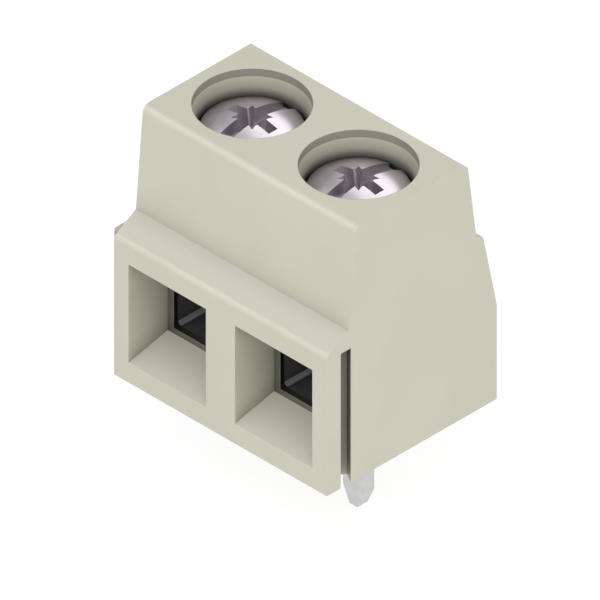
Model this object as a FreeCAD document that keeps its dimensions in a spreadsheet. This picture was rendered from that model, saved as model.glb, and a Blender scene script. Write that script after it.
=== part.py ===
import FreeCAD, Part
import os
import Sketcher
from FreeCAD import Vector

# Two-pole screw terminal for a printed circuit board, in millimetres.
# X runs along the row of poles, -Y faces the wires, +Z points away from the board.
# The origin is the middle of the housing's underside, which sits on the board.

POLES = ("left", "right")
TOLERANCE = 1e-4
ADDING = ("PartDesign::Pad", "PartDesign::Revolution")
CUTTING = ("PartDesign::Pocket", "PartDesign::Groove", "PartDesign::SubtractiveLoft",
           "PartDesign::LinearPattern")
# Angle in degrees from a wing of the cross recess to the notches on each side of it.
NOTCH_TURN = 45

# Driving dimensions: alias, value, what it measures.
DIMENSIONS = [
    ("poles", len(POLES), "poles side by side"),
    ("pitch", 5.08, "distance between two poles"),
    ("running_gap", 0.05, "clearance round every piece that slides or turns"),
    # Housing, seen from its side.
    ("depth", 8.11, "housing, front to back at the board"),
    ("height", 10.4, "housing, board to top"),
    ("lip_height", 5.69, "top of the front wall over the wire entries"),
    ("lip_run", 1.045, "depth of the sloping shelf behind that wall"),
    ("lip_rise", 0.6, "rise of the sloping shelf"),
    ("lip_round", 0.3, "rounding of the front wall's top edge"),
    ("tower_lean", 0.347, "how far the tower's front leans back"),
    ("tower_round", 0.32, "rounding of the tower's front top edge"),
    ("top_depth", 5.143, "flat top, front to back"),
    ("top_chamfer", 0.2, "chamfer of the rear top edge"),
    ("back_lean", 0.4, "how far the tower's back leans in"),
    ("ledge_height", 7.18, "height of the rear ledge, inner edge"),
    ("ledge_run", 0.325, "depth of the rear ledge"),
    ("ledge_drop", 0.18, "fall of the rear ledge"),
    ("ledge_round", 0.15, "rounding of the rear ledge"),
    ("heel_height", 3.9, "height of the upright foot of the rear wall"),
    # Screwdriver hole over each pole.
    ("hole_radius", 2.055, "screwdriver hole at the top"),
    ("hole_land", 0.3, "straight stretch at the mouth of that hole"),
    ("hole_cone", 0.75, "height of the cone below it"),
    # Wire entry of each pole.
    ("entry_width", 3.69, "wire entry at the front face"),
    ("entry_floor", 0.823, "height of its floor at the front face"),
    ("entry_roof", 4.861, "height of its roof at the front face"),
    ("funnel_side", 0.2, "how far each side wall closes in"),
    ("funnel_lift", 0.62, "how far the floor rises"),
    ("funnel_fall", 0.42, "how far the roof falls"),
    ("frame_side", 0.3, "inner frame, each side"),
    ("frame_floor", 0.235, "inner frame, below and above"),
    ("frame_thickness", 0.15, "inner frame, front to back, and the bevel behind its edge"),
    ("frame_gap", 0.235, "clearance between the inner frame and the cage"),
    # Clamp cage: one strip folded round the wire space, its ends lapped on top.
    ("cage_strip", 0.45, "thickness of the cage's strip"),
    ("cage_width", 3.98, "cage, outside"),
    ("cage_depth", 4.0, "cage, front to back"),
    ("cage_floor", 1.54, "inside floor of the cage when it is down"),
    ("cage_bend", 0.18, "inside radius of the cage's bends"),
    ("cage_seam", 0.03, "gap between the lapped ends"),
    ("cage_travel", 2.25, "rise of the cage from open to closed"),
    # Clamp screw.
    ("screw_radius", 1.5, "shank over its thread"),
    ("screw_tip_radius", 1.1, "flat at the tip of the shank"),
    ("head_radius", 1.78, "screw head"),
    ("head_gap", 0.12, "clearance of the screw head in its bore"),
    ("head_edge", 0.95, "height of the head's straight side"),
    ("head_dome", 0.45, "rise of the dome over that side"),
    ("head_sunk", 0.5, "top of the dome below the top of the housing"),
    ("slot_width", 0.53, "screw slot"),
    ("slot_depth", 0.63, "screw slot, from the top of the dome"),
    ("wing_reach", 1.08, "cross recess at the top, centre to the end of a wing"),
    ("wing_width", 0.43, "cross recess at the top, each wing"),
    ("wing_tip_reach", 0.4, "cross recess at the bottom, centre to the end of a wing"),
    ("wing_tip_width", 0.36, "cross recess at the bottom, each wing"),
    ("recess_depth", 1.3, "cross recess, from the top of the dome"),
    ("well_radius", 0.52, "round well in the middle of the recess, at the top"),
    ("well_tip_radius", 0.38, "round well at the end of its steep wall"),
    ("well_depth", 0.95, "steep wall of the well, from the top of the dome"),
    ("notch_reach", 0.74, "pointed notch between two wings at the top, centre to its point"),
    ("notch_root", 0.26, "same notch at the top, centre to its root along each axis"),
    ("notch_tip_reach", 0.46, "same notch at its bottom, centre to its point"),
    ("notch_tip_root", 0.16, "same notch at its bottom, centre to its root along each axis"),
    ("notch_depth", 0.75, "same notch, from the top of the dome"),
    # Solder contact: one folded strip.
    ("contact_strip", 0.5, "thickness of the contact's strip"),
    ("tongue_gap", 0.09, "clearance of the tongue in the cage, each side"),
    ("tongue_top", 4.8, "height of the tongue's upper side"),
    ("contact_bend", 0.3, "inside radius of the contact's bends"),
    ("foot_height", 0.3, "height of the foot over the board"),
    ("foot_taper", 1.1, "length over which the foot narrows to the pin"),
    ("pin_width", 1.0, "solder pin, along the row"),
    ("pin_length", 3.5, "solder pin below the board side of the housing"),
    ("pin_taper", 0.7, "length of the pin's tapered tip"),
    ("pin_tip", 0.37, "width of the pin's tip"),
    # Coupling rib on the left side and dovetail groove on the right side.
    ("groove_front", 0.9, "middle of the groove, from the front face"),
    ("groove_mouth", 0.48, "width of the groove's mouth"),
    ("groove_flare", 1.0, "widest part of the groove"),
    ("groove_floor", 0.7, "width of the groove's floor"),
    ("flare_depth", 0.44, "depth of the widest part"),
    ("groove_depth", 0.58, "depth of the groove"),
    ("groove_height", 5.54, "height of the groove"),
    ("rib_gap", 0.03, "clearance of the rib in the groove of the next housing"),
]

# Sizes that follow from the driving ones: alias, formula.
DERIVED = [
    ("width", "poles * pitch"),
    ("first_pole", "-(poles - 1) * pitch / 2"),
    ("front", "-depth / 2"),
    ("back", "depth / 2"),
    ("lip_back", "front + lip_run"),
    ("tower_foot", "lip_height + lip_rise"),
    ("top_front", "lip_back + tower_lean"),
    ("top_back", "top_front + top_depth"),
    ("ledge_back", "top_back + top_chamfer + back_lean"),
    ("heel_top_back", "ledge_back + ledge_run"),
    ("bore_radius", "head_radius + head_gap"),
    ("tongue_width", "cage_width - 2 * cage_strip - 2 * tongue_gap"),
    ("tongue_under", "tongue_top - contact_strip"),
    ("cage_under", "cage_floor - cage_strip"),
    ("lap_under", "tongue_top + running_gap"),
    ("lap_inner", "lap_under + cage_strip"),
    ("lap_outer", "lap_inner + cage_seam"),
    ("cage_top", "lap_outer + cage_strip"),
    ("shaft_top", "cage_top + cage_travel + 2 * running_gap"),
    ("shaft_front", "-cage_depth / 2 - frame_gap"),
    ("funnel_end", "shaft_front - frame_thickness"),
    ("shaft_back", "cage_depth / 2 + running_gap"),
    ("screw_tip", "tongue_top + running_gap / 2"),
    ("head_top", "height - head_sunk"),
    ("head_rim", "head_top - head_dome"),
    ("head_under", "head_rim - head_edge"),
    ("foot_top", "foot_height + contact_strip"),
]


def make_sheet(document):
    """Fill the sheet of sizes, one row for each, with its alias."""
    sheet = document.addObject("Spreadsheet::Sheet", "dim")
    for row, (alias, value, meaning) in enumerate(DIMENSIONS, 1):
        sheet.set("A%d" % row, meaning)
        sheet.set("B%d" % row, str(value))
        sheet.setAlias("B%d" % row, alias)
    for row, (alias, formula) in enumerate(DERIVED, len(DIMENSIONS) + 1):
        sheet.set("A%d" % row, formula)
        sheet.set("B%d" % row, "=" + formula)
        sheet.setAlias("B%d" % row, alias)
    document.recompute()
    return sheet


def origin_plane(body, role):
    """One of the body's own three planes."""
    return next(plane for plane in body.Origin.OriginFeatures if plane.Role == role)


def add_sketch(body, name, role, across="0", off="0", turn=0):
    """A sketch on an origin plane, moved along its x by across, off its plane by off, turned."""
    sketch = body.newObject("Sketcher::SketchObject", name)
    sketch.AttachmentSupport = [(origin_plane(body, role), "")]
    sketch.MapMode = "FlatFace"
    sketch.AttachmentOffset = FreeCAD.Placement(
        Vector(), FreeCAD.Rotation(Vector(0, 0, 1), turn))
    sketch.setExpression("AttachmentOffset.Base.x", across)
    sketch.setExpression("AttachmentOffset.Base.z", off)
    return sketch


def number(sketch, formula):
    """The present value of a formula of the sheet."""
    return float(sketch.evalExpression(formula))


def fix_point(sketch, line, end, spot):
    """Tie a point of the sketch to a pair of formulas."""
    for kind, formula in zip(("DistanceX", "DistanceY"), spot):
        index = sketch.addConstraint(
            Sketcher.Constraint(kind, -1, 1, line, end, number(sketch, formula)))
        sketch.setExpression("Constraints[%d]" % index, formula)


def draw_outline(sketch, corners):
    """A closed outline of straight lines through corners given as pairs of formulas."""
    points = [Vector(number(sketch, x), number(sketch, y), 0) for x, y in corners]
    lines = [sketch.addGeometry(Part.LineSegment(start, end))
             for start, end in zip(points, points[1:] + points[:1])]
    for line, following, corner in zip(lines, lines[1:] + lines[:1], corners):
        sketch.addConstraint(Sketcher.Constraint("Coincident", line, 2, following, 1))
        fix_point(sketch, line, 1, corner)


def draw_rectangle(sketch, left, right, low, high):
    """A rectangle between two widths and two heights."""
    draw_outline(sketch, [(left, low), (right, low), (right, high), (left, high)])


def draw_circle(sketch, radius):
    """A circle round the sketch's origin."""
    circle = sketch.addGeometry(Part.Circle(Vector(), Vector(0, 0, 1), number(sketch, radius)))
    sketch.addConstraint(Sketcher.Constraint("Coincident", circle, 3, -1, 1))
    index = sketch.addConstraint(
        Sketcher.Constraint("Radius", circle, number(sketch, radius)))
    sketch.setExpression("Constraints[%d]" % index, radius)


def mirrored(corners):
    """The same corners on the other side of the sketch's vertical axis."""
    return [("-(%s)" % x, y) for x, y in corners]


def add_feature(body, kind, name, sketch, length=None, **settings):
    """A feature made from a sketch, as long as a formula says."""
    feature = body.newObject("PartDesign::" + kind, name)
    feature.Profile = sketch
    if length:
        feature.setExpression("Length", length)
    for key, setting in settings.items():
        setattr(feature, key, setting)
    sketch.Visibility = False
    return feature


def add_loft(body, kind, name, sketches):
    """A loft from one outline to the next."""
    loft = body.newObject("PartDesign::" + kind, name)
    loft.Profile = sketches[0]
    loft.Sections = sketches[1:]
    loft.Ruled = True
    return loft


def edges_along(feature, direction, spots):
    """Names of the edges of a feature that run along a direction through the given spots."""
    names = []
    for index, edge in enumerate(feature.Shape.Edges, 1):
        if len(edge.Vertexes) != 2:
            continue
        start, end = edge.Vertexes[0].Point, edge.Vertexes[1].Point
        if (end - start).cross(direction).Length > TOLERANCE:
            continue
        if any((start - spot).cross(direction).Length < TOLERANCE for spot in spots):
            names.append("Edge%d" % index)
    return names


def round_edges(body, name, radius, direction, spots):
    """Round the edges of the body that run along a direction through spots given as formulas."""
    body.Document.recompute()
    base = body.Tip
    places = [Vector(*(number(base, part) for part in spot)) for spot in spots]
    edges = edges_along(base, direction, places)
    if len(edges) < len(spots):
        raise RuntimeError("%s: %d of %d edges found" % (name, len(edges), len(spots)))
    fillet = body.newObject("PartDesign::Fillet", name)
    fillet.Base = (base, edges)
    fillet.setExpression("Radius", radius)
    return fillet


def repeat_per_pole(body, name, originals):
    """Repeat features that were made at the first pole at every other pole."""
    body.Document.recompute()
    pattern = body.newObject("PartDesign::LinearPattern", name)
    pattern.Originals = originals
    pattern.Direction = (originals[0].Profile[0], ["H_Axis"])
    pattern.setExpression("Length", "(dim.poles - 1) * dim.pitch")
    pattern.setExpression("Occurrences", "dim.poles")
    body.Tip = pattern
    return pattern


def dovetail(side, gap):
    """Outline of the dovetail in plan: side is its foot, gap makes it smaller all round."""
    middle = "dim.front + dim.groove_front"
    steps = [
        ("0", "dim.groove_mouth / 2"),
        ("dim.flare_depth + %s" % gap, "dim.groove_flare / 2"),
        ("dim.groove_depth + %s" % gap, "dim.groove_floor / 2"),
    ]
    near = [("%s - %s" % (side, depth), "%s - %s + %s" % (middle, half, gap))
            for depth, half in steps]
    far = [("%s - %s" % (side, depth), "%s + %s - %s" % (middle, half, gap))
           for depth, half in steps]
    return near + far[::-1]


def draw_entry(body, name, place, side, floor, roof):
    """The wire entry's rectangle at a place along the housing, smaller by side, floor and roof."""
    sketch = add_sketch(body, name, "XZ_Plane", "dim.first_pole", "-" + place)
    half = "dim.entry_width / 2 - (%s)" % side
    draw_rectangle(sketch, "-(%s)" % half, half, "dim.entry_floor + " + floor,
                   "dim.entry_roof - (%s)" % roof)
    return sketch


def build_housing(document):
    """Moulded housing: side profile, driver holes, wire funnels, cage shafts, coupling."""
    body = document.addObject("PartDesign::Body", "housing")

    profile = add_sketch(body, "side_profile", "YZ_Plane")
    draw_outline(profile, [
        ("dim.front", "0"),
        ("dim.back", "0"),
        ("dim.back", "dim.heel_height"),
        ("dim.heel_top_back", "dim.ledge_height - dim.ledge_drop"),
        ("dim.ledge_back", "dim.ledge_height"),
        ("dim.top_back + dim.top_chamfer", "dim.height - dim.top_chamfer"),
        ("dim.top_back", "dim.height"),
        ("dim.top_front", "dim.height"),
        ("dim.lip_back", "dim.tower_foot"),
        ("dim.front", "dim.lip_height"),
    ])
    add_feature(body, "Pad", "block", profile, "dim.width", Midplane=True)
    along_row = Vector(1, 0, 0)
    round_edges(body, "lip_rounding", "dim.lip_round", along_row,
                [("0", "dim.front", "dim.lip_height")])
    round_edges(body, "tower_rounding", "dim.tower_round", along_row,
                [("0", "dim.top_front", "dim.height")])
    round_edges(body, "ledge_rounding", "dim.ledge_round", along_row,
                [("0", "dim.heel_top_back", "dim.ledge_height - dim.ledge_drop")])

    # Driver hole: a straight mouth, a cone, then the bore that guides the screw head.
    hole_profile = add_sketch(body, "driver_hole_profile", "XZ_Plane", "dim.first_pole")
    draw_outline(hole_profile, [
        ("0", "dim.shaft_top - dim.running_gap"),
        ("dim.bore_radius", "dim.shaft_top - dim.running_gap"),
        ("dim.bore_radius", "dim.height - dim.hole_land - dim.hole_cone"),
        ("dim.hole_radius", "dim.height - dim.hole_land"),
        ("dim.hole_radius", "dim.height"),
        ("0", "dim.height"),
    ])
    hole = add_feature(body, "Groove", "driver_hole", hole_profile,
                       ReferenceAxis=(hole_profile, ["V_Axis"]), Angle=360)

    # Wire entry: a funnel, then an inner frame whose opening widens behind its front edge.
    mouth = draw_entry(body, "entry_mouth", "dim.front", "0", "0", "0")
    throat = draw_entry(body, "entry_throat", "dim.funnel_end",
                        "dim.funnel_side", "dim.funnel_lift", "dim.funnel_fall")
    funnel = add_loft(body, "SubtractiveLoft", "wire_funnel", [mouth, throat])
    edge = draw_entry(body, "frame_edge", "dim.funnel_end",
                      "dim.funnel_side + dim.frame_side",
                      "dim.funnel_lift + dim.frame_floor",
                      "dim.funnel_fall + dim.frame_floor")
    rear = draw_entry(body, "frame_rear", "dim.shaft_front",
                      "dim.funnel_side + dim.frame_side - dim.frame_thickness",
                      "dim.funnel_lift + dim.frame_floor - dim.frame_thickness",
                      "dim.funnel_fall + dim.frame_floor - dim.frame_thickness")
    opening = add_loft(body, "SubtractiveLoft", "frame_opening", [edge, rear])

    # Shaft of the cage, open at the board, and the seat of the contact's riser behind it.
    shaft_plan = add_sketch(body, "cage_shaft_plan", "XY_Plane", "dim.first_pole")
    draw_rectangle(shaft_plan, "-dim.cage_width / 2 - dim.running_gap",
                   "dim.cage_width / 2 + dim.running_gap", "dim.shaft_front", "dim.shaft_back")
    shaft = add_feature(body, "Pocket", "cage_shaft", shaft_plan, "dim.shaft_top", Reversed=True)

    seat_plan = add_sketch(body, "contact_seat_plan", "XY_Plane", "dim.first_pole")
    draw_rectangle(seat_plan, "-dim.tongue_width / 2 - dim.running_gap",
                   "dim.tongue_width / 2 + dim.running_gap",
                   "dim.shaft_back", "dim.shaft_back + dim.contact_strip")
    seat = add_feature(body, "Pocket", "contact_seat", seat_plan, "dim.tongue_top", Reversed=True)
    repeat_per_pole(body, "pole_pattern", [hole, funnel, opening, shaft, seat])

    # Coupling: groove on the right side, rib of the same form on the left side.
    groove_plan = add_sketch(body, "groove_plan", "XY_Plane")
    draw_outline(groove_plan, dovetail("dim.width / 2", "0"))
    add_feature(body, "Pocket", "coupling_groove", groove_plan, "dim.groove_height",
                Reversed=True)
    rib_plan = add_sketch(body, "rib_plan", "XY_Plane")
    draw_outline(rib_plan, dovetail("-dim.width / 2", "dim.rib_gap"))
    add_feature(body, "Pad", "coupling_rib", rib_plan, "dim.groove_height - 2 * dim.rib_gap")
    return body


def build_cage(document, pole):
    """Clamp cage: a strip folded into a box, its ends lapped over each other on top."""
    body = document.addObject("PartDesign::Body", "cage_" + pole)
    outer = "dim.cage_width / 2"
    inner = "dim.cage_width / 2 - dim.cage_strip"

    fold = add_sketch(body, "cage_%s_fold" % pole, "XZ_Plane")
    draw_outline(fold, [
        ("-(%s)" % outer, "dim.cage_under"),
        (outer, "dim.cage_under"),
        (outer, "dim.lap_inner"),
        ("-(%s) + dim.cage_bend" % inner, "dim.lap_inner"),
        ("-(%s) + dim.cage_bend" % inner, "dim.lap_under"),
        (inner, "dim.lap_under"),
        (inner, "dim.cage_floor"),
        ("-(%s)" % inner, "dim.cage_floor"),
        ("-(%s)" % inner, "dim.lap_outer"),
        (inner, "dim.lap_outer"),
        (inner, "dim.cage_top"),
        ("-(%s)" % outer, "dim.cage_top"),
    ])
    add_feature(body, "Pad", "cage_%s_strip" % pole, fold, "dim.cage_depth", Midplane=True)
    front_to_back = Vector(0, 1, 0)
    round_edges(body, "cage_%s_inner_bends" % pole, "dim.cage_bend", front_to_back, [
        ("-(%s)" % inner, "0", "dim.cage_floor"),
        (inner, "0", "dim.cage_floor"),
        (inner, "0", "dim.lap_under"),
        ("-(%s)" % inner, "0", "dim.lap_outer"),
    ])
    round_edges(body, "cage_%s_outer_bends" % pole, "dim.cage_bend + dim.cage_strip",
                front_to_back, [
                    ("-(%s)" % outer, "0", "dim.cage_under"),
                    (outer, "0", "dim.cage_under"),
                    (outer, "0", "dim.lap_inner"),
                    ("-(%s)" % outer, "0", "dim.cage_top"),
                ])

    # Threaded hole through both laps.
    hole = add_sketch(body, "cage_%s_hole" % pole, "XY_Plane", off="dim.cage_top")
    draw_circle(hole, "dim.screw_radius + dim.running_gap")
    add_feature(body, "Pocket", "cage_%s_thread" % pole, hole,
                "dim.cage_top - dim.lap_under + dim.running_gap")
    return body


def build_screw(document, pole):
    """Clamp screw: turned shank and domed head with a slot and a tapered cross recess."""
    body = document.addObject("PartDesign::Body", "screw_" + pole)
    profile = add_sketch(body, "screw_%s_profile" % pole, "XZ_Plane")
    corners = [
        ("0", "dim.screw_tip"),
        ("dim.screw_tip_radius", "dim.screw_tip"),
        ("dim.screw_radius", "dim.screw_tip + dim.screw_radius - dim.screw_tip_radius"),
        ("dim.screw_radius", "dim.head_under"),
        ("dim.head_radius", "dim.head_under"),
        ("dim.head_radius", "dim.head_rim"),
        ("0", "dim.head_rim"),
    ]
    draw_outline(profile, corners)
    add_feature(body, "Revolution", "screw_%s_turned" % pole, profile,
                ReferenceAxis=(profile, ["V_Axis"]), Angle=360)

    # Dome: the cap of a sphere through the rim and the top of the head.
    cap = add_sketch(body, "screw_%s_cap" % pole, "XZ_Plane")
    draw_cap(cap)
    add_feature(body, "Revolution", "screw_%s_dome" % pole, cap,
                ReferenceAxis=(cap, ["V_Axis"]), Angle=360)

    slot = add_sketch(body, "screw_%s_slot_plan" % pole, "XY_Plane", off="dim.head_top")
    draw_rectangle(slot, "-dim.slot_width / 2", "dim.slot_width / 2",
                   "-dim.bore_radius", "dim.bore_radius")
    add_feature(body, "Pocket", "screw_%s_slot" % pole, slot, "dim.slot_depth")

    # Cross recess: wings that taper to the bottom, a round well, and a notch in each corner.
    cut_star(body, "screw_%s_wings" % pole, 0, "dim.recess_depth",
             draw_cross, ("dim.wing_reach", "dim.wing_width / 2"),
             ("dim.wing_tip_reach", "dim.wing_tip_width / 2"))
    well = add_sketch(body, "screw_%s_well_profile" % pole, "XZ_Plane")
    draw_outline(well, [
        ("0", "dim.head_top - dim.recess_depth"),
        ("dim.well_tip_radius", "dim.head_top - dim.well_depth"),
        ("dim.well_radius", "dim.head_top"),
        ("0", "dim.head_top"),
    ])
    add_feature(body, "Groove", "screw_%s_well" % pole, well,
                ReferenceAxis=(well, ["V_Axis"]), Angle=360)
    cut_star(body, "screw_%s_notches" % pole, NOTCH_TURN, "dim.notch_depth",
             draw_points, ("dim.notch_reach", "dim.notch_root"),
             ("dim.notch_tip_reach", "dim.notch_tip_root"))
    return body


def cut_star(body, name, turn, depth, draw, top, tip):
    """Cut a shape with four arms from the top of the head down; top and tip give its sizes."""
    upper = add_sketch(body, name + "_top", "XY_Plane", off="dim.head_top", turn=turn)
    draw(upper, *top)
    lower = add_sketch(body, name + "_tip", "XY_Plane", off="dim.head_top - " + depth, turn=turn)
    draw(lower, *tip)
    add_loft(body, "SubtractiveLoft", name, [upper, lower])


def draw_cap(sketch):
    """Half section of the head's dome, from the axis out to the rim."""
    rim = Vector(number(sketch, "dim.head_radius"), number(sketch, "dim.head_rim"), 0)
    top = Vector(0, number(sketch, "dim.head_top"), 0)
    rise = top.y - rim.y
    radius = (rim.x ** 2 + rise ** 2) / (2 * rise)
    middle = Vector(0, top.y - radius, 0)
    shoulder = Vector(rim.x / 2, middle.y + (radius ** 2 - rim.x ** 2 / 4) ** 0.5, 0)
    arc = sketch.addGeometry(Part.Arc(rim, shoulder, top))
    axis = sketch.addGeometry(Part.LineSegment(top, Vector(0, rim.y, 0)))
    base = sketch.addGeometry(Part.LineSegment(Vector(0, rim.y, 0), rim))
    sketch.addConstraint(Sketcher.Constraint("Coincident", axis, 2, base, 1))
    sketch.addConstraint(Sketcher.Constraint("Coincident", base, 2, arc, 1))
    sketch.addConstraint(Sketcher.Constraint("Coincident", axis, 1, arc, 2))
    sketch.addConstraint(Sketcher.Constraint("PointOnObject", arc, 3, -2))
    fix_point(sketch, axis, 1, ("0", "dim.head_top"))
    fix_point(sketch, base, 1, ("0", "dim.head_rim"))
    fix_point(sketch, base, 2, ("dim.head_radius", "dim.head_rim"))


def draw_cross(sketch, reach, half):
    """A cross whose four wings are as long as reach and twice as wide as half."""
    draw_outline(sketch, [
        (reach, "-" + half), (reach, half), (half, half), (half, reach),
        ("-" + half, reach), ("-" + half, half), ("-" + reach, half), ("-" + reach, "-" + half),
        ("-" + half, "-" + half), ("-" + half, "-" + reach), (half, "-" + reach),
        (half, "-" + half),
    ])


def draw_points(sketch, reach, root):
    """A star of four points as long as reach, its roots as far as root along each axis."""
    draw_outline(sketch, [
        (reach, "0"), (root, root), ("0", reach), ("-" + root, root),
        ("-" + reach, "0"), ("-" + root, "-" + root), ("0", "-" + reach), (root, "-" + root),
    ])


def build_contact(document, pole):
    """Solder contact: tongue through the cage, riser, foot and solder pin in one strip."""
    body = document.addObject("PartDesign::Body", "contact_" + pole)
    riser_back = "dim.shaft_back + dim.contact_strip"
    pin_half = "dim.contact_strip / 2"

    fold = add_sketch(body, "contact_%s_fold" % pole, "YZ_Plane")
    draw_outline(fold, [
        ("-dim.cage_depth / 2", "dim.tongue_top"),
        ("-dim.cage_depth / 2", "dim.tongue_under"),
        ("dim.shaft_back", "dim.tongue_under"),
        ("dim.shaft_back", "dim.foot_top"),
        ("-(%s)" % pin_half, "dim.foot_top"),
        ("-(%s)" % pin_half, "-dim.pin_length"),
        (pin_half, "-dim.pin_length"),
        (pin_half, "dim.foot_height"),
        (riser_back, "dim.foot_height"),
        (riser_back, "dim.tongue_top"),
    ])
    add_feature(body, "Pad", "contact_%s_strip" % pole, fold, "dim.tongue_width", Midplane=True)
    along_row = Vector(1, 0, 0)
    round_edges(body, "contact_%s_inner_bends" % pole, "dim.contact_bend", along_row, [
        ("0", "dim.shaft_back", "dim.tongue_under"),
        ("0", "dim.shaft_back", "dim.foot_top"),
        ("0", pin_half, "dim.foot_height"),
    ])
    round_edges(body, "contact_%s_outer_bends" % pole, "dim.contact_bend + dim.contact_strip",
                along_row, [
                    ("0", "-(%s)" % pin_half, "dim.foot_top"),
                    ("0", riser_back, "dim.foot_height"),
                    ("0", riser_back, "dim.tongue_top"),
                ])

    # The foot narrows to the width of the pin.
    side = "dim.tongue_width / 2"
    trim = [
        ("dim.pin_width / 2", "-dim.contact_strip"),
        (side + " + dim.contact_strip", "-dim.contact_strip"),
        (side + " + dim.contact_strip", "%s + dim.contact_bend + dim.foot_taper" % pin_half),
        (side, "%s + dim.contact_bend + dim.foot_taper" % pin_half),
        ("dim.pin_width / 2", "%s + dim.contact_bend" % pin_half),
    ]
    plan = add_sketch(body, "contact_%s_foot_plan" % pole, "XY_Plane",
                      off="dim.foot_top + dim.running_gap")
    draw_outline(plan, trim)
    draw_outline(plan, mirrored(trim))
    add_feature(body, "Pocket", "contact_%s_foot" % pole, plan,
                "dim.foot_top + dim.pin_length + 2 * dim.running_gap")

    # The tip of the pin tapers on both edges.
    edge = [
        ("dim.pin_width / 2", "-dim.pin_length + dim.pin_taper"),
        ("dim.pin_tip / 2", "-dim.pin_length"),
        ("dim.pin_width / 2", "-dim.pin_length"),
    ]
    tip = add_sketch(body, "contact_%s_tip_plan" % pole, "XZ_Plane")
    draw_outline(tip, edge)
    draw_outline(tip, mirrored(edge))
    add_feature(body, "Pocket", "contact_%s_tip" % pole, tip, "2 * dim.contact_strip",
                Midplane=True)
    return body


def place_at_pole(body, index):
    """Move a body from the origin to the axis of its pole."""
    body.setExpression("Placement.Base.x", "dim.first_pole + %d * dim.pitch" % index)


def check_document(document, bodies):
    """Stop if a feature failed, a cut removed nothing or a body is not one valid solid."""
    for item in document.Objects:
        if {"Invalid", "Error"} & set(item.State):
            raise RuntimeError("%s failed: %s" % (item.Label, item.State))
    for body in bodies:
        if body.Shape.isNull() or not body.Shape.isValid() or len(body.Shape.Solids) != 1:
            raise RuntimeError("%s is not one valid solid" % body.Label)
        volume = 0.0
        for feature in body.Group:
            if not feature.isDerivedFrom("PartDesign::Feature"):
                continue
            change = feature.Shape.Volume - volume
            volume = feature.Shape.Volume
            if feature.TypeId in ADDING and change < TOLERANCE:
                raise RuntimeError("%s added nothing" % feature.Label)
            if feature.TypeId in CUTTING and change > -TOLERANCE:
                raise RuntimeError("%s cut nothing" % feature.Label)


def main():
    """Build every piece, check them and write one file for each."""
    os.makedirs("parts", exist_ok=True)
    document = FreeCAD.newDocument("screw_terminal")
    make_sheet(document)
    bodies = [build_housing(document)]
    for index, pole in enumerate(POLES):
        for build in (build_cage, build_screw, build_contact):
            body = build(document, pole)
            place_at_pole(body, index)
            bodies.append(body)
    document.recompute()
    check_document(document, bodies)
    for body in bodies:
        body.Shape.exportStep(os.path.join("parts", body.Label + ".step"))
        box = body.Shape.BoundBox
        print("%-14s %9.3f mm3  x %.3f..%.3f  y %.3f..%.3f  z %.3f..%.3f" % (
            body.Label, body.Shape.Volume, box.XMin, box.XMax, box.YMin, box.YMax,
            box.ZMin, box.ZMax))


main()
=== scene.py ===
# %% [markdown]
# This lesson dresses a two-pole screw terminal for a circuit board. The construction comes
# ready made: a moulded housing, two clamp screws, two folded steel cages and two tinned
# contacts. Here they get their finishes, their light and the view of the photograph.

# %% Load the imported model
import math
import bpy
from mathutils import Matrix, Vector


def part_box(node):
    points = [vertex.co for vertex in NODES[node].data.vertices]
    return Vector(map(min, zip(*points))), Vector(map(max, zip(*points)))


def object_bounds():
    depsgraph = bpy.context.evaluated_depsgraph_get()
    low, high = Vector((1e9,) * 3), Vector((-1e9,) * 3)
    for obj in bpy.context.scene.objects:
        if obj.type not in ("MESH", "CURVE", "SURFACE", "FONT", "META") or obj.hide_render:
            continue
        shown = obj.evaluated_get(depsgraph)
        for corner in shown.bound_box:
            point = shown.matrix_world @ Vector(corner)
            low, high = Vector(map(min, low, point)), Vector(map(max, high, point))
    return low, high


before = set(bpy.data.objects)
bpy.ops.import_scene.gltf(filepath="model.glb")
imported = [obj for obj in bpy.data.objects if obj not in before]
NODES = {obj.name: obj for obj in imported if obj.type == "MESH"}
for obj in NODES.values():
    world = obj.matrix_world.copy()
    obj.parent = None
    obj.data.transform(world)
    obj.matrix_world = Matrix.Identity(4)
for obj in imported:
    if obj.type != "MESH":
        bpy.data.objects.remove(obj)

CAD_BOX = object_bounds()
print("nodes:", ", ".join(sorted(NODES)))

# %% [markdown]
# The terminal is a few millimetres across, and Blender counts in metres. One small constant
# turns millimetres into metres, so every size below can be written as a maker would say it.

# %% Units and poles
MM = 0.001
POLES = ("left", "right")
PIN_TIP = CAD_BOX[0].z


def pole_axis(pole):
    """Middle of the screw of a pole, seen from above."""
    low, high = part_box("screw_" + pole)
    return Vector(((low.x + high.x) / 2, (low.y + high.y) / 2, 0))


print("poles at x =", [round(pole_axis(pole).x / MM, 2) for pole in POLES], "mm")

# %% [markdown]
# A finish starts from a colour. Colours are written as the hex values that a colour picker
# shows, which are sRGB, but shaders reckon in linear light, so one function turns them round.

# %% Colours
def linear(code):
    """An sRGB hex colour as linear red, green, blue and alpha."""
    channels = [int(code[i:i + 2], 16) / 255 for i in (1, 3, 5)]
    return [c / 12.92 if c <= 0.04045 else ((c + 0.055) / 1.055) ** 2.4 for c in channels] + [1]


print("a middle grey in linear light:", round(linear("#808080")[0], 3))

# %% [markdown]
# A material is a chain of nodes. One function adds a node with its settings and its links in
# a single call, which keeps each material below short enough to read. The others start a
# material, give a colour ramp its stops and link the last shader to the surface. A Mix node
# has several sockets of one name, one for each type of value, so its colour sockets are
# called by their numbers.

# %% Helpers for materials
MIX_FIRST, MIX_SECOND, MIX_RESULT = 6, 7, 2


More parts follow.
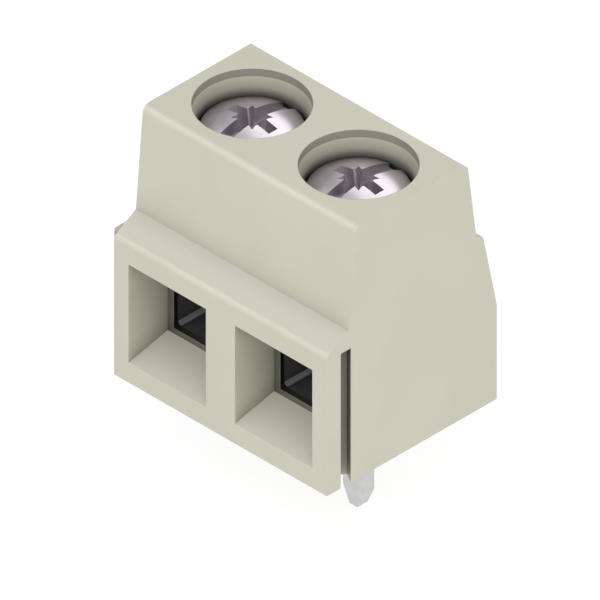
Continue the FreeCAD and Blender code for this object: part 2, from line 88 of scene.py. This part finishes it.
def add_node(material, kind, inputs=None, **settings):
    """A node of a kind: settings are its own, inputs are numbers or other nodes' outputs."""
    node = material.node_tree.nodes.new(kind)
    for key, setting in settings.items():
        setattr(node, key, setting)
    for socket, source in (inputs or {}).items():
        if isinstance(source, bpy.types.NodeSocket):
            material.node_tree.links.new(source, node.inputs[socket])
        else:
            node.inputs[socket].default_value = source
    return node


def new_material(name):
    """An empty material and the node that its surface goes to."""
    material = bpy.data.materials.new(name)
    material.use_nodes = True
    material.node_tree.nodes.clear()
    output = material.node_tree.nodes.new("ShaderNodeOutputMaterial")
    return material, output


def set_stops(ramp, stops):
    """Give a colour ramp its stops, each a position and a linear colour."""
    elements = ramp.color_ramp.elements
    for extra in range(len(stops) - len(elements)):
        elements.new(0.5)
    for element, (position, colour) in zip(elements, stops):
        element.position = position
        element.color = colour


def finish_material(material, output, shader):
    """Link the last shader to the material's surface."""
    material.node_tree.links.new(shader.outputs[0], output.inputs["Surface"])
    return material


# %% [markdown]
# The housing is injection moulded from polyamide in a light pebble grey. Its recesses are
# darkened with painted shade, darker than the lamps alone would make them. That could be painted
# by hand, but an Ambient Occlusion node finds the recesses by itself. A wide one sees only the
# housing and a near one sees the metal too, and a power below one keeps each of them gentle.

# %% Painted shade in the recesses
WIDE_REACH, WIDE_POWER = 7.0 * MM, 0.22
NEAR_REACH, NEAR_POWER = 0.8 * MM, 0.55
REACH_SAMPLES = 8


def painted_recess_shade(material):
    """Painted shade of the recesses, 1 where there is none."""
    wide = add_node(material, "ShaderNodeAmbientOcclusion", {"Distance": WIDE_REACH},
                    samples=REACH_SAMPLES, only_local=True)
    near = add_node(material, "ShaderNodeAmbientOcclusion", {"Distance": NEAR_REACH},
                    samples=REACH_SAMPLES)
    wide_shade = add_node(material, "ShaderNodeMath", {
        0: wide.outputs["AO"], 1: WIDE_POWER}, operation="POWER")
    near_shade = add_node(material, "ShaderNodeMath", {
        0: near.outputs["AO"], 1: NEAR_POWER}, operation="POWER")
    shade = add_node(material, "ShaderNodeMath", {
        0: wide_shade.outputs["Value"], 1: near_shade.outputs["Value"]}, operation="MULTIPLY")
    return shade.outputs["Value"]


# %% [markdown]
# The rounded edges at the front get a painted highlight that makes them a little lighter,
# and the slopes between them get a painted sheen in a greyer tone. Both look forwards and up at
# once, where Y times Z of the normal is well below zero. The slopes look mostly up and the
# rounded edges less so, which tells the two apart by the normal alone.

# %% Painted highlight and sheen at the front
EDGE_LIFT = 1.065
EDGE_FROM, EDGE_TO = -0.2, -0.4
SLOPE_FROM, SLOPE_TO = -0.12, -0.3
MOSTLY_UP_FROM, MOSTLY_UP_TO = 0.75, 0.85


def painted_edge_highlights(material, normal):
    """Painted highlight on the rounded edges, and painted sheen on a slope, from 0 to 1."""
    forward_up = add_node(material, "ShaderNodeMath", {
        0: normal.outputs["Y"], 1: normal.outputs["Z"]}, operation="MULTIPLY")
    # Painted highlight: the rounded edges are made lighter.
    edge_lift = add_node(material, "ShaderNodeMapRange", {
        "Value": normal.outputs["Z"], "From Min": MOSTLY_UP_FROM, "From Max": MOSTLY_UP_TO,
        "To Min": EDGE_LIFT, "To Max": 1.0})
    edge_highlight = add_node(material, "ShaderNodeMapRange", {
        "Value": forward_up.outputs["Value"], "From Min": EDGE_FROM, "From Max": EDGE_TO,
        "To Min": 1.0, "To Max": edge_lift.outputs["Result"]})
    mostly_up = add_node(material, "ShaderNodeMapRange", {
        "Value": normal.outputs["Z"], "From Min": MOSTLY_UP_FROM, "From Max": MOSTLY_UP_TO})
    # Painted sheen: how far a slope takes the greyer tone.
    slope_sheen = add_node(material, "ShaderNodeMapRange", {
        "Value": forward_up.outputs["Value"], "From Min": SLOPE_FROM, "From Max": SLOPE_TO,
        "To Max": mostly_up.outputs["Result"]})
    return edge_highlight.outputs["Result"], slope_sheen.outputs["Result"]


# %% [markdown]
# The entries get painted light and shade. The floor of an entry is kept out of the painted
# recess shade and lifted a little lighter, and the inner frame round the opening gets a dark
# painted shade. A floor is below a certain height and looks up. The frame is the only part of
# the housing that faces the front so deep in the entries. So a few comparisons of place and
# normal find them both.

# %% Painted light and shade in the wire entries
ENTRY_TOP, FRAME_FRONT = 5.0 * MM, -2.395 * MM
FLOOR_FROM, FLOOR_TO = 0.4, 0.85
ENTRY_LIFT = 1.11
FACES_FRONT = -0.9
FRAME_SHADE = 0.3


def painted_entry_shading(material, place, normal, recess_shade, plain):
    """Recess shade with the entries' floors lit, and the edge highlight with the frames shaded.
    """
    low = add_node(material, "ShaderNodeMath", {
        0: place.outputs["Z"], 1: ENTRY_TOP}, operation="LESS_THAN")
    floors = add_node(material, "ShaderNodeMapRange", {
        "Value": normal.outputs["Z"], "From Min": FLOOR_FROM, "From Max": FLOOR_TO,
        "To Max": low.outputs["Value"]})
    # Painted light: the entry floors leave the recess shade and are made lighter.
    lit_floors = add_node(material, "ShaderNodeMapRange", {
        "Value": floors.outputs["Result"], "To Min": recess_shade, "To Max": ENTRY_LIFT})
    deep = add_node(material, "ShaderNodeMath", {
        0: place.outputs["Y"], 1: FRAME_FRONT}, operation="GREATER_THAN")
    inner = add_node(material, "ShaderNodeMath", {
        0: deep.outputs["Value"], 1: low.outputs["Value"]}, operation="MULTIPLY")
    ahead = add_node(material, "ShaderNodeMath", {
        0: normal.outputs["Y"], 1: FACES_FRONT}, operation="LESS_THAN")
    frames = add_node(material, "ShaderNodeMath", {
        0: inner.outputs["Value"], 1: ahead.outputs["Value"]}, operation="MULTIPLY")
    # Painted shade: the inner frames are darkened.
    shaded_frames = add_node(material, "ShaderNodeMapRange", {
        "Value": frames.outputs["Value"], "To Min": plain, "To Max": FRAME_SHADE})
    return lit_floors.outputs["Result"], shaded_frames.outputs["Result"]


# %% [markdown]
# The driver holes are wells over the screws. Their walls get a painted shade that turns darker
# towards the head, and a band just under the mouth is painted in shade too. A colour ramp over
# the height holds these tones. It works only near the axis of a pole, and as the two poles
# mirror each other, X without its sign lets one axis serve both.

# %% Shade of the driver holes
WELL_AXIS, WELL_RADIUS = pole_axis("right"), 2.07 * MM
WELL_LOW, WELL_TOP = 8.4 * MM, 10.4 * MM
WELL_TONES = ((0.45, 0.1), (0.55, 0.33), (0.66, 0.85), (0.845, 1.06), (0.85, 0.63))


def painted_well_shade(material, place):
    """Shade of the walls of the driver holes, 1 everywhere else."""
    side = add_node(material, "ShaderNodeMath", {0: place.outputs["X"]}, operation="ABSOLUTE")
    from_above = add_node(material, "ShaderNodeCombineXYZ", {
        "X": side.outputs["Value"], "Y": place.outputs["Y"]})
    from_axis = add_node(material, "ShaderNodeVectorMath", {
        0: from_above.outputs["Vector"], 1: WELL_AXIS}, operation="DISTANCE")
    close = add_node(material, "ShaderNodeMath", {
        0: from_axis.outputs["Value"], 1: WELL_RADIUS}, operation="LESS_THAN")
    high = add_node(material, "ShaderNodeMath", {
        0: place.outputs["Z"], 1: WELL_LOW}, operation="GREATER_THAN")
    in_well = add_node(material, "ShaderNodeMath", {
        0: close.outputs["Value"], 1: high.outputs["Value"]}, operation="MULTIPLY")
    level = add_node(material, "ShaderNodeMapRange", {
        "Value": place.outputs["Z"], "From Min": WELL_LOW, "From Max": WELL_TOP})
    tones = add_node(material, "ShaderNodeValToRGB", {"Fac": level.outputs["Result"]})
    set_stops(tones, [(position, (tone, tone, tone, 1)) for position, tone in WELL_TONES])
    # Painted shade on the walls of the driver holes.
    walls = add_node(material, "ShaderNodeMapRange", {
        "Value": in_well.outputs["Value"], "To Min": 1.0, "To Max": tones.outputs["Color"]})
    return walls.outputs["Result"]


# %% [markdown]
# The moulding itself is satin, with a fine grain that it takes from the spark-eroded steel of
# its mould, and a faint change of tone where the plastic flowed. The grain of a real mould is
# about 0.02 mm, too fine to show here, so it is drawn at 0.06 mm. It could be an image, but a
# noise in object coordinates has no seams and keeps its real size on every face. The painted
# shade and highlights from the cells above are multiplied together and scale the tone, and
# the painted sheen mixes in a greyer tone.

# %% Polyamide for the housing
GRAIN, GRAIN_DEPTH = 0.06 * MM, 0.01 * MM
FLOW = 3.0 * MM
FLOW_TONES = ((0.3, linear("#CAC8B6")), (0.7, linear("#CFCDBB")))
# A greyer tone for the painted sheen on the slopes.
SHEEN_TONE = linear("#C9C7BA")


def moulded_polyamide():
    """Satin moulded polyamide, light pebble grey."""
    material, output = new_material("moulded_polyamide")
    texture = add_node(material, "ShaderNodeTexCoord")
    spot = texture.outputs["Object"]
    flow = add_node(material, "ShaderNodeTexNoise", {
        "Vector": spot, "Scale": 1 / FLOW, "Detail": 2})
    tone = add_node(material, "ShaderNodeValToRGB", {"Fac": flow.outputs["Fac"]})
    set_stops(tone, FLOW_TONES)
    rough = add_node(material, "ShaderNodeMapRange", {
        "Value": flow.outputs["Fac"], "To Min": 0.5, "To Max": 0.56})
    grain = add_node(material, "ShaderNodeTexNoise", {
        "Vector": spot, "Scale": 1 / GRAIN, "Detail": 3})
    bump = add_node(material, "ShaderNodeBump", {
        "Strength": 0.12, "Distance": GRAIN_DEPTH, "Height": grain.outputs["Fac"]})

    place = add_node(material, "ShaderNodeSeparateXYZ", {"Vector": spot})
    normal = add_node(material, "ShaderNodeSeparateXYZ", {"Vector": texture.outputs["Normal"]})
    edge_highlight, slope_sheen = painted_edge_highlights(material, normal)
    lit_floors, shaded_frames = painted_entry_shading(material, place, normal, painted_recess_shade(material), edge_highlight)
    # Painted shade and highlights from the cells above, multiplied together.
    painted_light = add_node(material, "ShaderNodeMath", {
        0: shaded_frames, 1: painted_well_shade(material, place)}, operation="MULTIPLY")
    shade = add_node(material, "ShaderNodeMath", {
        0: lit_floors, 1: painted_light.outputs["Value"]}, operation="MULTIPLY")
    # Painted sheen: the slopes are mixed towards a greyer tone.
    sheened = add_node(material, "ShaderNodeMix", {
        "Factor": slope_sheen, MIX_FIRST: tone.outputs["Color"], MIX_SECOND: SHEEN_TONE},
        data_type="RGBA")
    colour = add_node(material, "ShaderNodeVectorMath", {
        "Vector": sheened.outputs[MIX_RESULT], "Scale": shade.outputs["Value"]},
        operation="SCALE")
    shader = add_node(material, "ShaderNodeBsdfPrincipled", {
        "Base Color": colour.outputs["Vector"],
        "Roughness": rough.outputs["Result"],
        "IOR": 1.53,
        "Normal": bump.outputs["Normal"],
    })
    return finish_material(material, output, shader)


# %% [markdown]
# The screws are turned from steel and zinc plated. Plating keeps the fine rings that the
# lathe left on the head, and it has a faint warm violet cast. The rings are a wave texture
# round the axis of each screw, so each screw has a material of its own with the pattern
# centred by a Mapping node.

# %% Zinc for the screws
TURNING_MARK, TURNING_DEPTH = 0.09 * MM, 0.005 * MM
RING_GAP_AT_SCALE_ONE = 0.31831
ZINC_CLOUD = 0.5 * MM
ZINC_TONES = ((0.3, linear("#C6BFC6")), (0.7, linear("#D3CDD3")))


def zinc_plated_steel(pole):
    """Satin zinc on turned steel, with rings round the screw's axis."""
    material, output = new_material("zinc_plated_steel_" + pole)
    spot = add_node(material, "ShaderNodeTexCoord").outputs["Object"]
    centred = add_node(material, "ShaderNodeMapping", {
        "Vector": spot, "Location": -pole_axis(pole)})
    rings = add_node(material, "ShaderNodeTexWave", {
        "Vector": centred.outputs["Vector"],
        "Scale": RING_GAP_AT_SCALE_ONE / TURNING_MARK,
        "Distortion": 0.4,
        "Detail": 2,
        "Detail Scale": 1.5,
    }, wave_type="RINGS", rings_direction="Z")
    cloud = add_node(material, "ShaderNodeTexNoise", {
        "Vector": spot, "Scale": 1 / ZINC_CLOUD, "Detail": 4})
    tint = add_node(material, "ShaderNodeValToRGB", {"Fac": cloud.outputs["Fac"]})
    set_stops(tint, ZINC_TONES)
    rough = add_node(material, "ShaderNodeMapRange", {
        "Value": cloud.outputs["Fac"], "To Min": 0.3, "To Max": 0.4})
    bump = add_node(material, "ShaderNodeBump", {
        "Strength": 0.1, "Distance": TURNING_DEPTH, "Height": rings.outputs["Fac"]})
    shader = add_node(material, "ShaderNodeBsdfPrincipled", {
        "Base Color": tint.outputs["Color"],
        "Metallic": 1.0,
        "Roughness": rough.outputs["Result"],
        "Normal": bump.outputs["Normal"],
    })
    return finish_material(material, output, shader)


# %% [markdown]
# The cages are folded from rolled strip steel. Rolling leaves faint lines along the strip,
# here a noise stretched along Y, and their dull zinc is greyer than on the screws. Where the
# strip is bent, a painted highlight makes it bright, and an Ambient Occlusion node paints
# shade into its inner corners. A bend is where the surface leans halfway between X and Z, so
# the two parts of its normal are multiplied to find it.

# %% Rolled strip for the cages
ROLLING_LINE, ROLLING_DEPTH = 0.08 * MM, 0.006 * MM
ALONG_THE_STRIP = (1, 0.08, 1)
STRIP_TONES = ((0.25, linear("#8E8E92")), (0.75, linear("#A0A0A4")))
BEND_HIGHLIGHT = linear("#FFFFFF")
BEND_FROM, BEND_TO = 0.1, 0.3
CORNER_REACH = 0.5 * MM


def rolled_strip_steel():
    """Dull grey zinc on rolled strip steel, with painted highlights at bends and shade in
    corners.
    """
    material, output = new_material("rolled_strip_steel")
    texture = add_node(material, "ShaderNodeTexCoord")
    stretched = add_node(material, "ShaderNodeMapping", {
        "Vector": texture.outputs["Object"], "Scale": ALONG_THE_STRIP})
    lines = add_node(material, "ShaderNodeTexNoise", {
        "Vector": stretched.outputs["Vector"], "Scale": 1 / ROLLING_LINE, "Detail": 3})
    tint = add_node(material, "ShaderNodeValToRGB", {"Fac": lines.outputs["Fac"]})
    set_stops(tint, STRIP_TONES)
    # Painted shade: the tone is darkened in the inner corners of the cage.
    corner_shade = add_node(material, "ShaderNodeAmbientOcclusion", {
        "Distance": CORNER_REACH, "Color": tint.outputs["Color"]}, samples=REACH_SAMPLES)
    normal = add_node(material, "ShaderNodeSeparateXYZ", {"Vector": texture.outputs["Normal"]})
    both = add_node(material, "ShaderNodeMath", {
        0: normal.outputs["X"], 1: normal.outputs["Z"]}, operation="MULTIPLY")
    lean = add_node(material, "ShaderNodeMath", {0: both.outputs["Value"]}, operation="ABSOLUTE")
    bend = add_node(material, "ShaderNodeMapRange", {
        "Value": lean.outputs["Value"], "From Min": BEND_FROM, "From Max": BEND_TO})
    # Painted highlight: the bends are mixed towards white.
    colour = add_node(material, "ShaderNodeMix", {
        "Factor": bend.outputs["Result"],
        MIX_FIRST: corner_shade.outputs["Color"],
        MIX_SECOND: BEND_HIGHLIGHT,
    }, data_type="RGBA")
    bump = add_node(material, "ShaderNodeBump", {
        "Strength": 0.15, "Distance": ROLLING_DEPTH, "Height": lines.outputs["Fac"]})
    shader = add_node(material, "ShaderNodeBsdfPrincipled", {
        "Base Color": colour.outputs[MIX_RESULT],
        "Metallic": 0.85,
        "Roughness": 0.5,
        "Normal": bump.outputs["Normal"],
    })
    return finish_material(material, output, shader)


# %% [markdown]
# The contacts are a copper alloy with a coat of matt tin, so that solder takes to them. Tin
# is nearly neutral, soft in its shine and a little cloudy.

# %% Tin for the contacts
TIN_CLOUD, TIN_DEPTH = 0.35 * MM, 0.006 * MM
TIN_TONES = ((0.3, linear("#C6C6C5")), (0.7, linear("#D2D2D1")))


def matt_tin():
    """Matt tin plate on a copper alloy."""
    material, output = new_material("matt_tin")
    spot = add_node(material, "ShaderNodeTexCoord").outputs["Object"]
    cloud = add_node(material, "ShaderNodeTexNoise", {
        "Vector": spot, "Scale": 1 / TIN_CLOUD, "Detail": 4})
    tint = add_node(material, "ShaderNodeValToRGB", {"Fac": cloud.outputs["Fac"]})
    set_stops(tint, TIN_TONES)
    rough = add_node(material, "ShaderNodeMapRange", {
        "Value": cloud.outputs["Fac"], "To Min": 0.36, "To Max": 0.48})
    bump = add_node(material, "ShaderNodeBump", {
        "Strength": 0.08, "Distance": TIN_DEPTH, "Height": cloud.outputs["Fac"]})
    shader = add_node(material, "ShaderNodeBsdfPrincipled", {
        "Base Color": tint.outputs["Color"],
        "Metallic": 1.0,
        "Roughness": rough.outputs["Result"],
        "Normal": bump.outputs["Normal"],
    })
    return finish_material(material, output, shader)


# %% [markdown]
# Each node of the model takes its finish. A node may come with a plain material in its slot,
# so the list is emptied first and the new one is the only one left. Both cages share one
# finish and so do both contacts, as they come from one strip each.

# %% Dress the nodes
def dress(node, material):
    """Give a node of the model one finish."""
    NODES[node].data.materials.clear()
    NODES[node].data.materials.append(material)
    print(node, "is", material.name)


dress("housing", moulded_polyamide())
CAGE_FINISH = rolled_strip_steel()
CONTACT_FINISH = matt_tin()
for pole in POLES:
    dress("cage_" + pole, CAGE_FINISH)
    dress("contact_" + pole, CONTACT_FINISH)
    dress("screw_" + pole, zinc_plated_steel(pole))

# %% [markdown]
# The part stands on a plain sheet at the height of the pin tips. It glows softly like a light
# table, which lights the part from below as the pale surroundings of the photograph do. It is
# matt besides, so a faint shadow stays on it. A small lift that only the camera and the metal
# see turns it white. From below it is clear, so that the underside can be looked at too.

# %% Floor
FLOOR_SIZE = 0.6
FLOOR_GREY = (0.25, 0.25, 0.25, 1)
FLOOR_GLOW = 0.7
FLOOR_LIFT = 0.15

bpy.ops.object.select_all(action="DESELECT")
bpy.ops.mesh.primitive_plane_add(size=FLOOR_SIZE, location=(0, 0, PIN_TIP))
floor = bpy.context.object
floor.name = "floor"


def white_floor():
    """Matt white from above with a little light of its own, clear from below."""
    material, output = new_material("white_floor")
    path = add_node(material, "ShaderNodeLightPath")
    seen = add_node(material, "ShaderNodeMath", {
        0: path.outputs["Is Camera Ray"], 1: path.outputs["Is Glossy Ray"]},
        operation="MAXIMUM")
    strength = add_node(material, "ShaderNodeMapRange", {
        "Value": seen.outputs["Value"], "To Min": FLOOR_GLOW,
        "To Max": FLOOR_GLOW + FLOOR_LIFT})
    matt = add_node(material, "ShaderNodeBsdfDiffuse", {"Color": FLOOR_GREY})
    glow = add_node(material, "ShaderNodeEmission", {"Strength": strength.outputs["Result"]})
    both = add_node(material, "ShaderNodeAddShader", {0: matt.outputs[0], 1: glow.outputs[0]})
    clear = add_node(material, "ShaderNodeBsdfTransparent")
    under = add_node(material, "ShaderNodeNewGeometry").outputs["Backfacing"]
    shader = add_node(material, "ShaderNodeMixShader", {
        0: under, 1: both.outputs[0], 2: clear.outputs[0]})
    return finish_material(material, output, shader)


floor.data.materials.append(white_floor())
print("floor at z =", round(PIN_TIP / MM, 2), "mm")

# %% [markdown]
# The photograph is lit from all sides in about equal parts: front, side and top are equally
# bright. A pale world gives that even light. It is brighter at the sides than above, because
# the lamps stand high. The Light Path node makes it plain white where the camera looks at it,
# and a middle grey in the metal, so that the screws keep the depth they have in the photograph.

# %% World
WORLD_AT_SIDES, WORLD_ABOVE = 0.88, 0.35
WORLD_IN_METAL = 0.45

world = bpy.data.worlds.new("studio")
bpy.context.scene.world = world
world.use_nodes = True
world.node_tree.nodes.clear()
height = add_node(world, "ShaderNodeSeparateXYZ", {
    "Vector": add_node(world, "ShaderNodeTexCoord").outputs["Generated"]})
light = add_node(world, "ShaderNodeMapRange", {
    "Value": height.outputs["Z"], "To Min": WORLD_AT_SIDES, "To Max": WORLD_ABOVE})
path = add_node(world, "ShaderNodeLightPath")
seen = add_node(world, "ShaderNodeMath", {
    0: path.outputs["Is Camera Ray"], 1: path.outputs["Is Transmission Ray"]},
    operation="MAXIMUM")
room = add_node(world, "ShaderNodeMapRange", {
    "Value": path.outputs["Is Glossy Ray"], "To Min": light.outputs["Result"],
    "To Max": WORLD_IN_METAL})
strength = add_node(world, "ShaderNodeMapRange", {
    "Value": seen.outputs["Value"], "To Min": room.outputs["Result"], "To Max": 1.0})
sky = add_node(world, "ShaderNodeBackground", {
    "Color": (1, 1, 1, 1), "Strength": strength.outputs["Result"]})
add_node(world, "ShaderNodeOutputWorld", {"Surface": sky.outputs[0]})
print("world:", WORLD_AT_SIDES, "at the sides,", WORLD_ABOVE, "above")

# %% [markdown]
# The camera looks from the front right, 45 degrees round and 35 degrees down, with parallel
# rays as in a technical drawing. The photograph is 20.25 mm wide at the part's scale, and
# its middle lies a little above the board seat.

# %% Camera
AZIMUTH, ELEVATION = math.radians(45), math.radians(35)
PICTURE_WIDTH = 20.25 * MM
SHIFT_RIGHT, SHIFT_UP = -0.182 * MM, 2.923 * MM
CAMERA_DISTANCE = 60 * MM
CLIP_START, CLIP_END = 1 * MM, 1.0

back = Vector((math.sin(AZIMUTH) * math.cos(ELEVATION),
               -math.cos(AZIMUTH) * math.cos(ELEVATION), math.sin(ELEVATION)))
right = Vector((math.cos(AZIMUTH), math.sin(AZIMUTH), 0))
up = back.cross(right)
target = right * SHIFT_RIGHT + up * SHIFT_UP

camera_data = bpy.data.cameras.new("camera")
camera_data.type = "ORTHO"
camera_data.ortho_scale = PICTURE_WIDTH
camera_data.clip_start = CLIP_START
camera_data.clip_end = CLIP_END
camera = bpy.data.objects.new("camera", camera_data)
bpy.context.scene.collection.objects.link(camera)
camera.location = target + back * CAMERA_DISTANCE
camera.rotation_mode = "QUATERNION"
camera.rotation_quaternion = (-back).to_track_quat("-Z", "Y")
bpy.context.scene.camera = camera
print("camera at", [round(part / MM, 1) for part in camera.location], "mm")

# %% [markdown]
# Three large soft lamps complete the studio. The key stands above the camera and lights every
# face that it sees. The softbox, high at the back, draws the bright patch on the right of
# each screw head. The edge light, high at the front left, brings out the rounded edges. The
# last two are seen only by metal and gloss, so the flat faces stay equally bright.

# %% Lamps
def add_lamp(name, direction, distance, size, power):
    """A round soft lamp that shines at the middle of the picture."""
    data = bpy.data.lights.new(name, "AREA")
    data.shape = "DISK"
    data.size = size
    data.energy = power
    lamp = bpy.data.objects.new(name, data)
    bpy.context.scene.collection.objects.link(lamp)
    towards = direction.normalized()
    lamp.location = target + towards * distance
    lamp.rotation_mode = "QUATERNION"
    lamp.rotation_quaternion = (-towards).to_track_quat("-Z", "Y")
    print(name, "lamp:", round(size / MM), "mm wide,", power, "W")
    return lamp


LAMP_DISTANCE = 120 * MM
KEY_FROM = back + 0.36 * up
SOFTBOX_FROM = Vector((-0.17, 0.68, 0.71))
EDGE_LIGHT_FROM = Vector((-0.6, -0.45, 0.66))

add_lamp("key", KEY_FROM, LAMP_DISTANCE, 160 * MM, 0.085)
softbox = add_lamp("softbox", SOFTBOX_FROM, LAMP_DISTANCE, 130 * MM, 0.055)
edge_light = add_lamp("edge_light", EDGE_LIGHT_FROM, LAMP_DISTANCE, 110 * MM, 0.07)
for lamp in (softbox, edge_light):
    lamp.visible_diffuse = False
    lamp.visible_camera = False

# %% [markdown]
# Last, the picture is shown as it is, with no film curve.

# %% View settings
bpy.context.scene.view_settings.view_transform = "Standard"
